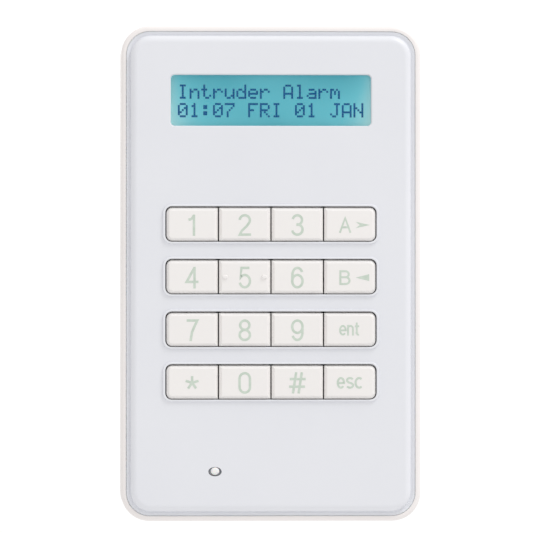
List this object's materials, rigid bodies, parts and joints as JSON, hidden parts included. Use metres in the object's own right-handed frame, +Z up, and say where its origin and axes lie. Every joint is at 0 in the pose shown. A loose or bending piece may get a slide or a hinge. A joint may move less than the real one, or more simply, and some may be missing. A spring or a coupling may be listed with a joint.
{
  "type": "alarm keypad",
  "caption": "Wall-mounted alarm keypad: rounded white case with a backlit text display, rows of keys and a status light on a front that hinges up from a screw-fixed wall tray.",
  "frame": {"origin": "centre of the back face, where the tray lies on the wall, half way up and half way across", "axes": "+Z up the long side, +Y into the wall, +X to the right of a person facing the keys"},
  "size_m": [0.091, 0.0314, 0.15],
  "materials": {
    "case_plastic": "satin",
    "front_plastic": "satin",
    "key_plastic": "satin",
    "clear_window": "polished",
    "display_glass": "polished",
    "light_guide": "polished",
    "plated_steel": "satin",
    "zinc_steel": "satin",
    "gold_pins": "satin",
    "circuit_board": "satin",
    "silicone": "matte",
    "black_plastic": "matte",
    "terminal_plastic": "satin",
    "rotor_plastic": "satin",
    "chip_resin": "matte",
    "capacitor_can": "satin",
    "led_resin": "satin",
    "light_pipe": "polished"
  },
  "bodies": {
    "rear_case": {"rear_case": "case_plastic"},
    "front_unit": {"front_case": "front_plastic", "front_posts": "front_plastic", "lcd_window": "clear_window", "lcd_bezel": "plated_steel", "lcd_glass": "display_glass", "lcd_backlight": "light_guide", "lcd_board": "circuit_board", "lcd_header": "black_plastic", "lcd_header_pins": "gold_pins", "main_board": "circuit_board", "board_screws": "zinc_steel", "keymat": "silicone", "key_leds": "led_resin", "status_light_pipe": "light_pipe", "status_led": "led_resin", "sounder": "black_plastic", "terminal_block": "terminal_plastic", "terminal_screws": "zinc_steel", "terminal_clamps": "plated_steel", "address_switch_body": "black_plastic", "tamper_switch_body": "black_plastic", "microcontroller": "chip_resin", "bus_transceiver": "chip_resin", "regulator": "chip_resin", "capacitor": "capacitor_can"},
    "key_1": {"key_1": "key_plastic", "plunger_1": "silicone"},
    "key_2": {"key_2": "key_plastic", "plunger_2": "silicone"},
    "key_3": {"key_3": "key_plastic", "plunger_3": "silicone"},
    "key_a": {"key_a": "key_plastic", "plunger_a": "silicone"},
    "key_4": {"key_4": "key_plastic", "plunger_4": "silicone"},
    "key_5": {"key_5": "key_plastic", "plunger_5": "silicone"},
    "key_6": {"key_6": "key_plastic", "plunger_6": "silicone"},
    "key_b": {"key_b": "key_plastic", "plunger_b": "silicone"},
    "key_7": {"key_7": "key_plastic", "plunger_7": "silicone"},
    "key_8": {"key_8": "key_plastic", "plunger_8": "silicone"},
    "key_9": {"key_9": "key_plastic", "plunger_9": "silicone"},
    "key_ent": {"key_ent": "key_plastic", "plunger_ent": "silicone"},
    "key_star": {"key_star": "key_plastic", "plunger_star": "silicone"},
    "key_0": {"key_0": "key_plastic", "plunger_0": "silicone"},
    "key_hash": {"key_hash": "key_plastic", "plunger_hash": "silicone"},
    "key_esc": {"key_esc": "key_plastic", "plunger_esc": "silicone"},
    "address_rotor": {"address_switch_rotor": "rotor_plastic"},
    "tamper_plunger": {"tamper_plunger": "rotor_plastic"}
  },
  "joints": [
    {"name": "front_hinge", "type": "hinge", "parent": "rear_case", "child": "front_unit", "pos_m": [0, -0.0282, 0.0733], "axis": [-1, 0, 0], "range_deg": [0, 40]},
    {"name": "press_key_1", "type": "slide", "parent": "front_unit", "child": "key_1", "axis": [0, 1, 0], "range_m": [0, 0.001], "stiffness_N_per_m": 600},
    {"name": "press_key_2", "type": "slide", "parent": "front_unit", "child": "key_2", "axis": [0, 1, 0], "range_m": [0, 0.001], "stiffness_N_per_m": 600},
    {"name": "press_key_3", "type": "slide", "parent": "front_unit", "child": "key_3", "axis": [0, 1, 0], "range_m": [0, 0.001], "stiffness_N_per_m": 600},
    {"name": "press_key_a", "type": "slide", "parent": "front_unit", "child": "key_a", "axis": [0, 1, 0], "range_m": [0, 0.001], "stiffness_N_per_m": 600},
    {"name": "press_key_4", "type": "slide", "parent": "front_unit", "child": "key_4", "axis": [0, 1, 0], "range_m": [0, 0.001], "stiffness_N_per_m": 600},
    {"name": "press_key_5", "type": "slide", "parent": "front_unit", "child": "key_5", "axis": [0, 1, 0], "range_m": [0, 0.001], "stiffness_N_per_m": 600},
    {"name": "press_key_6", "type": "slide", "parent": "front_unit", "child": "key_6", "axis": [0, 1, 0], "range_m": [0, 0.001], "stiffness_N_per_m": 600},
    {"name": "press_key_b", "type": "slide", "parent": "front_unit", "child": "key_b", "axis": [0, 1, 0], "range_m": [0, 0.001], "stiffness_N_per_m": 600},
    {"name": "press_key_7", "type": "slide", "parent": "front_unit", "child": "key_7", "axis": [0, 1, 0], "range_m": [0, 0.001], "stiffness_N_per_m": 600},
    {"name": "press_key_8", "type": "slide", "parent": "front_unit", "child": "key_8", "axis": [0, 1, 0], "range_m": [0, 0.001], "stiffness_N_per_m": 600},
    {"name": "press_key_9", "type": "slide", "parent": "front_unit", "child": "key_9", "axis": [0, 1, 0], "range_m": [0, 0.001], "stiffness_N_per_m": 600},
    {"name": "press_key_ent", "type": "slide", "parent": "front_unit", "child": "key_ent", "axis": [0, 1, 0], "range_m": [0, 0.001], "stiffness_N_per_m": 600},
    {"name": "press_key_star", "type": "slide", "parent": "front_unit", "child": "key_star", "axis": [0, 1, 0], "range_m": [0, 0.001], "stiffness_N_per_m": 600},
    {"name": "press_key_0", "type": "slide", "parent": "front_unit", "child": "key_0", "axis": [0, 1, 0], "range_m": [0, 0.001], "stiffness_N_per_m": 600},
    {"name": "press_key_hash", "type": "slide", "parent": "front_unit", "child": "key_hash", "axis": [0, 1, 0], "range_m": [0, 0.001], "stiffness_N_per_m": 600},
    {"name": "press_key_esc", "type": "slide", "parent": "front_unit", "child": "key_esc", "axis": [0, 1, 0], "range_m": [0, 0.001], "stiffness_N_per_m": 600},
    {"name": "turn_address", "type": "hinge", "parent": "front_unit", "child": "address_rotor", "pos_m": [0.024, -0.0143, -0.029], "axis": [0, 1, 0], "continuous": true},
    {"name": "tamper_release", "type": "slide", "parent": "front_unit", "child": "tamper_plunger", "axis": [0, 1, 0], "range_m": [0, 0.0012]}
  ],
  "couplings": [
    {"joint": "tamper_release", "follows": "front_hinge", "m_per_rad": 0.00171}
  ]
}
